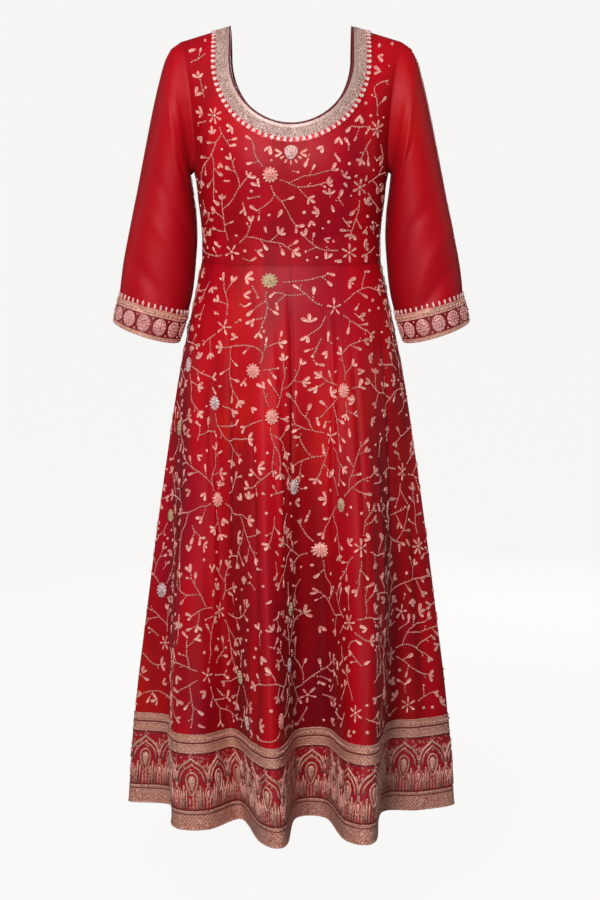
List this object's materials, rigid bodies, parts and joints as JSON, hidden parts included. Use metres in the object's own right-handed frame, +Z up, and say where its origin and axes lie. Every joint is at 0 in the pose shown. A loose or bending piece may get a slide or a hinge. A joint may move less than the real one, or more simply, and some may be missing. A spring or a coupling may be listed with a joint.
{
  "type": "anarkali kurta",
  "caption": "Fitted round-neck bodice with three-quarter sleeves and a flared skirt of joined kalis, worn form, with an embroidered neck band, cuffs and a wide woven hem border",
  "frame": {"origin": "middle of the wearer's shoulders, level with the two high points of the neck", "axes": "+X to the wearer's left, -Y out of the front, +Z up"},
  "size_m": [0.564, 0.5272, 1.2467],
  "materials": {
    "crimson_georgette": "crimson silk georgette with a soft sheen, worked all over with beaded vines",
    "sleeve_georgette": "plain crimson georgette",
    "silver_zari": "dense silver-pink beadwork and zari",
    "rose_gold_zari": "rose-gold zari brocade on maroon",
    "maroon_silk": "dark red silk piping"
  },
  "bodies": {
    "root": {"bodice_front": "crimson_georgette", "bodice_back": "crimson_georgette", "sleeve_left": "sleeve_georgette", "sleeve_right": "sleeve_georgette", "skirt_kali_01": "crimson_georgette", "skirt_kali_02": "crimson_georgette", "skirt_kali_03": "crimson_georgette", "skirt_kali_04": "crimson_georgette", "skirt_kali_05": "crimson_georgette", "skirt_kali_06": "crimson_georgette", "skirt_kali_07": "crimson_georgette", "skirt_kali_08": "crimson_georgette", "skirt_kali_09": "crimson_georgette", "skirt_kali_10": "crimson_georgette", "skirt_kali_11": "crimson_georgette", "skirt_kali_12": "crimson_georgette", "neck_band_front": "silver_zari", "neck_band_back": "silver_zari", "neck_piping": "maroon_silk", "neck_motif": "silver_zari", "cuff_band_left": "rose_gold_zari", "cuff_band_right": "rose_gold_zari", "hem_border": "rose_gold_zari"}
  },
  "joints": []
}
